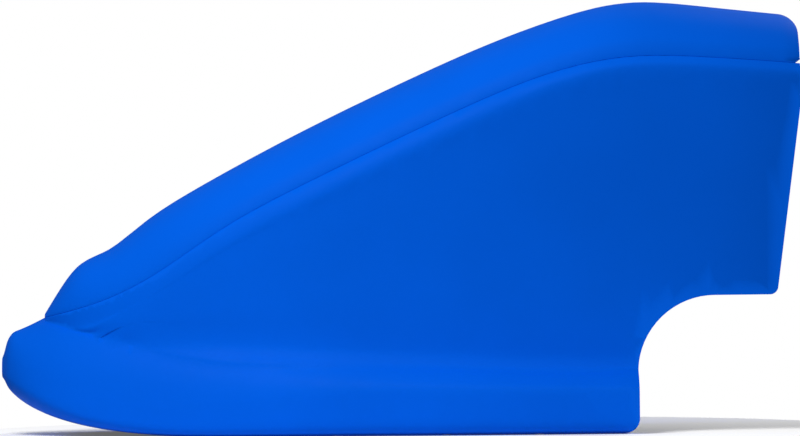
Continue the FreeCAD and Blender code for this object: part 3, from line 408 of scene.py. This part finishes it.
def is_rim(region):
    """Whether a smooth region of the canopy is its rim."""
    sideways = max(abs(face.normal.y) for face in region)
    highest = max(vertex.co.z for face in region for vertex in face.verts)
    upward = sum(face.normal.z for face in region) / len(region)
    climbs = highest - low_corner.z > RIM_LEAST_HEIGHT
    return sideways < RIM_MOST_SIDEWAYS and upward < -RIM_LEAST_DOWN and climbs


def lid_edge():
    """A thin bead of the shell's own plastic along the canopy's rim, which closes the joint line."""
    shape = node_shape("canopy_lid")
    shape.normal_update()
    kept = set()
    for region in smooth_regions(shape, RIM_SHARP):
        if is_rim(region):
            kept.update(region)
    bmesh.ops.delete(shape, geom=[face for face in shape.faces if face not in kept], context="FACES")
    bead = new_piece("lid_edge", shape, "canopy_lid", replaces=False)
    modifier(bead, "SOLIDIFY", thickness=RIM_BEAD, offset=1.0, use_rim=True)


def swept_band(rings, closed):
    """Faces between neighbouring rings of vertices, each ring joined round on itself."""
    shape = bmesh.new()
    made = [[shape.verts.new(point) for point in ring] for ring in rings]
    pairs = list(zip(made, made[1:]))
    if closed:
        pairs.append((made[-1], made[0]))
    for near, far in pairs:
        for i in range(len(near)):
            j = (i + 1) % len(near)
            shape.faces.new((near[i], near[j], far[j], far[i]))
    if not closed:
        shape.faces.new(reversed(made[0]))
        shape.faces.new(made[-1])
    bmesh.ops.recalc_face_normals(shape, faces=shape.faces)
    return shape


# Points on each rounded corner of a loop, less one.
CORNER_STEPS = 6


def rounded_loop(half_width, half_height, corner):
    """Points and outward directions round a rounded rectangle, evenly spread in each corner."""
    loop = []
    for quarter in range(4):
        centre_u = (half_width - corner) * (1 if quarter in (0, 3) else -1)
        centre_v = (half_height - corner) * (1 if quarter in (0, 1) else -1)
        for step in range(CORNER_STEPS + 1):
            turn = math.pi / 2 * (quarter + step / CORNER_STEPS)
            out_u, out_v = math.cos(turn), math.sin(turn)
            loop.append(((centre_u + corner * out_u, centre_v + corner * out_v), (out_u, out_v)))
    return loop


STRAP_THICKNESS = 1.1 * MM
STRAP_CORNER = 3.2 * MM
STRAP_EDGE = 0.28 * MM
# The turn starts at the second corner, and its tail laps over this many points of the start.
STRAP_START = CORNER_STEPS + 1
STRAP_LAP = 10
# Each point's rise is in thicknesses: flat faces, a slight crown outside, and the tail's lift.
STRAP_FACE, STRAP_CROWN = 0.5, 0.56
TAIL_LIFT, TAIL_RAMP = 1.12, 0.6


def strap():
    """Hook-and-loop battery strap: one turn round the tray, its tail lapped over the top."""
    low, high = node_box("battery_strap")
    middle_x, middle_y, middle_z = ((low[i] + high[i]) / 2 for i in range(3))
    half_width = (high.x - low.x) / 2
    half_y = (high.y - low.y - STRAP_THICKNESS) / 2
    half_z = (high.z - low.z - STRAP_THICKNESS) / 2
    section = (
        (-half_width, 0),
        (-half_width + STRAP_EDGE, STRAP_FACE),
        (0, STRAP_CROWN),
        (half_width - STRAP_EDGE, STRAP_FACE),
        (half_width, 0),
        (half_width - STRAP_EDGE, -STRAP_FACE),
        (0, -STRAP_FACE),
        (-half_width + STRAP_EDGE, -STRAP_FACE),
    )
    loop = rounded_loop(half_y, half_z, STRAP_CORNER)
    turn = loop[STRAP_START:] + loop[:STRAP_START]
    lifts = [0.0] * (len(turn) - 1) + [TAIL_RAMP] + [TAIL_LIFT] * STRAP_LAP
    rings = []
    for ((u, v), (out_u, out_v)), lift in zip(turn + turn[:STRAP_LAP], lifts):
        ring = []
        for across, rise in section:
            out = rise * STRAP_THICKNESS + STRAP_THICKNESS * lift
            ring.append((middle_x + across, middle_y + u + out_u * out, middle_z + v + out_v * out))
        rings.append(ring)
    piece = new_piece("strap_band", swept_band(rings, closed=False), "battery_strap")
    modifier(piece, "SUBSURF", levels=2, render_levels=2)


PAD_UNDER = {"pad_controller": "speed_controller", "pad_receiver": "receiver"}
PAD_INSET = 2 * MM
PAD_CUTS = 5
# A pad's height at its edges and the crown in its middle, as parts of the gap that it fills.
PAD_EDGE, PAD_CROWN = 0.72, 0.24
PAD_SIDE_BULGE = 0.02


def pads():
    """The two foam pads under the electronics, crowned between their edges."""
    low, high = node_box("foam_pads")
    for name, carried in PAD_UNDER.items():
        over_low, over_high = node_box(carried)
        x0, x1 = over_low.x + PAD_INSET, over_high.x - PAD_INSET
        y0, y1 = over_low.y + PAD_INSET, over_high.y - PAD_INSET
        shape = divided_cube(PAD_CUTS)
        for vertex in shape.verts:
            u, v, w = vertex.co
            swell = (1 - u**4) * (1 - v**4)
            side = 1 + PAD_SIDE_BULGE * (1 - w**2)
            vertex.co = (
                (x0 + x1) / 2 + u * (x1 - x0) / 2 * side,
                (y0 + y1) / 2 + v * (y1 - y0) / 2 * side,
                (low.z + high.z) / 2 + w * (high.z - low.z) / 2 * (PAD_EDGE + PAD_CROWN * swell),
            )
        pad = new_piece(name, shape, "foam_pads")
        modifier(pad, "SUBSURF", levels=2, render_levels=2)


BLOCK_CORNER = 4 * MM
BLOCK_CUTS = 15
BEAD_SIZE = 3 * MM
BEAD_DEPTH = 0.25 * MM


def buoyancy_foam():
    """The moulded bead-foam block over the stern well, with a soft skin and rounded edges."""
    low, high = node_box("buoyancy_block")
    middle, half = (low + high) / 2, (high - low) / 2
    reach = [half[i] - BLOCK_CORNER for i in range(3)]
    shape = divided_cube(BLOCK_CUTS)
    for vertex in shape.verts:
        inner = Vector(max(-reach[i], min(reach[i], vertex.co[i] * half[i])) for i in range(3))
        outward = Vector(vertex.co[i] * half[i] - inner[i] for i in range(3))
        if outward.length > 0:
            outward = outward.normalized() * BLOCK_CORNER
        vertex.co = middle + inner + outward
    block = new_piece("foam_block", shape, "buoyancy_block")
    modifier(block, "SUBSURF", levels=1, render_levels=2)
    beads = bpy.data.textures.new("beads", "VORONOI")
    beads.noise_scale = BEAD_SIZE
    modifier(block, "DISPLACE", texture=beads, texture_coords="LOCAL", strength=-BEAD_DEPTH, mid_level=0.0)


SEAL_VOXEL = 0.45 * MM


def seal():
    """The rubber seal under the canopy's rim, its corners rounded as an extrusion's are."""
    lip = new_piece("seal_lip", node_shape("canopy_seal"), "canopy_seal")
    modifier(lip, "REMESH", mode="VOXEL", voxel_size=SEAL_VOXEL, use_smooth_shade=True)
    modifier(lip, "SMOOTH", factor=0.5, iterations=4)


BOOT_SLOT_Y, BOOT_SLOT_Z = 5.4 * MM, 1.8 * MM
# What is left between the round ends of the boot's slot, so that no two points coincide.
BOOT_FLAT = 0.02 * MM
# The boot's section in millimetres: distance aft of its front, and distance out from the slot.
BOOT_SECTION = (
    (0.0, 1.25), (0.45, 1.3), (0.7, 0.85), (1.0, 0.8),
    (1.3, 1.15), (1.6, 0.8), (1.5, 0.1), (0.0, 0.05),
)


def boot():
    """The rubber boot round the push rod's slot: a flange, a groove and a rolled lip."""
    low, high = node_box("rod_boot")
    middle_y, middle_z = (low.y + high.y) / 2, (low.z + high.z) / 2
    rings = []
    for aft, out in BOOT_SECTION:
        half_y, half_z = BOOT_SLOT_Y + out * MM, BOOT_SLOT_Z + out * MM
        loop = rounded_loop(half_y, half_z, half_z - BOOT_FLAT)
        rings.append([(low.x + aft * MM, middle_y + u, middle_z + v) for (u, v), _ in loop])
    piece = new_piece("rod_grommet", swept_band(rings, closed=True), "rod_boot")
    modifier(piece, "SUBSURF", levels=1, render_levels=2)


SHELL_NODES = ("main_shell", "canopy_lid")
UNBEVELLED = SHELL_NODES + (
    "hull_pan", "canopy_seal", "foam_pads", "battery_strap", "buoyancy_block", "rod_boot", "jet_duct",
    "impeller", "battery_lead_red", "battery_lead_black", "motor_lead_red", "motor_lead_black",
    "servo_lead", "receiver_lead", "push_rod", "stator",
)
BROKEN_EDGE = 0.25 * MM
SHELL_EDGE = 0.5 * MM
SPLIT_POINT = 0.002 * MM
SHARP = math.radians(40)


def soften(names, width):
    """Broken edges on the hard parts, as moulds and machining leave them."""
    for name in names:
        piece = nodes[name]
        modifier(piece, "WELD", merge_threshold=SPLIT_POINT)
        modifier(
            piece, "BEVEL", width=width, segments=2, limit_method="ANGLE", angle_limit=SHARP,
            use_clamp_overlap=True, harden_normals=False,
        )


lid_edge()
strap()
pads()
buoyancy_foam()
seal()
boot()
soften([name for name in nodes if name not in UNBEVELLED], BROKEN_EDGE)
soften(SHELL_NODES, SHELL_EDGE)


# ---------------------------------------------------------------- floor, light and camera

WHITE = (1, 1, 1, 1)
FLOOR_RADIUS = length * 0.58
FLOOR_SIDES = 96
FLOOR_GAP = 0.05 * MM
FLOOR_GLOW = 0.12
# Lights are placed in metres, and their powers are in watts.
AMBIENT = 0.18
KEY = {"place": (-0.22, -0.4, 0.49), "size": 0.25, "power": 3.7}
FILL = {"place": (0.5, 0.5, 0.32), "size": 0.5, "power": 4.5}
PICTURE_WIDTH = 277.6 * MM
LENS, SENSOR = 300, 36
CAMERA_X, CAMERA_Z = 0.7 * MM, 75 * MM
CAMERA_REACH = 20
ROLL = math.radians(0.6)
# The picture's width is measured this far out from the keel, as a part of half the beam.
OUTLINE_DEPTH = 0.6


def floor():
    """A plain pale disc for the boat to stand on."""
    shape = bmesh.new()
    bmesh.ops.create_circle(shape, cap_ends=True, segments=FLOOR_SIDES, radius=FLOOR_RADIUS)
    mesh = bpy.data.meshes.new("floor")
    shape.to_mesh(mesh)
    shape.free()
    disc = bpy.data.objects.new("floor", mesh)
    bpy.context.collection.objects.link(disc)
    disc.location.z = low_corner.z - FLOOR_GAP
    made = Finish("floor")
    made.colour(made.noise(scale=6), low=(0.86, 0.86, 0.86), high=(0.88, 0.88, 0.88))
    made.set(Roughness=1.0, Specular_IOR_Level=0.0, Emission_Color=WHITE, Emission_Strength=FLOOR_GLOW)
    mesh.materials.append(made.material)


def soft_light(name, place, size, power):
    """A square soft light that faces the middle of the boat."""
    lamp = bpy.data.lights.new(name, "AREA")
    lamp.size = size
    lamp.energy = power
    holder = bpy.data.objects.new(name, lamp)
    bpy.context.collection.objects.link(holder)
    holder.location = place
    middle = (low_corner + high_corner) / 2
    holder.rotation_euler = (Vector(place) - middle).to_track_quat("Z", "Y").to_euler()


def white_room():
    """A world that is pure white to look at and lights the boat more gently than it looks."""
    world = bpy.data.worlds.new("studio")
    bpy.context.scene.world = world
    world.use_nodes = True
    tree = world.node_tree
    seen, lit = tree.nodes["Background"], tree.nodes.new("ShaderNodeBackground")
    for background, strength in ((seen, 1.0), (lit, AMBIENT)):
        background.inputs["Color"].default_value = WHITE
        background.inputs["Strength"].default_value = strength
    mixed, path = tree.nodes.new("ShaderNodeMixShader"), tree.nodes.new("ShaderNodeLightPath")
    tree.links.new(path.outputs["Is Camera Ray"], mixed.inputs["Fac"])
    tree.links.new(lit.outputs["Background"], mixed.inputs[1])
    tree.links.new(seen.outputs["Background"], mixed.inputs[2])
    tree.links.new(mixed.outputs["Shader"], tree.nodes["World Output"].inputs["Surface"])


def studio():
    """The white room, a key light to port of the bow and a fill light behind the stern."""
    white_room()
    soft_light("key", **KEY)
    soft_light("fill", **FILL)
    bpy.context.scene.view_settings.view_transform = "Standard"


def camera():
    """A long lens square to the port side, with the slight roll of the view."""
    data = bpy.data.cameras.new("camera")
    data.lens = LENS
    data.sensor_width = SENSOR
    data.clip_end = CAMERA_REACH
    holder = bpy.data.objects.new("camera", data)
    bpy.context.collection.objects.link(holder)
    near_side = low_corner.y * OUTLINE_DEPTH
    holder.location = (CAMERA_X, near_side - PICTURE_WIDTH * LENS / SENSOR, CAMERA_Z)
    holder.rotation_euler = (math.pi / 2, ROLL, 0)
    bpy.context.scene.camera = holder


floor()
studio()
camera()
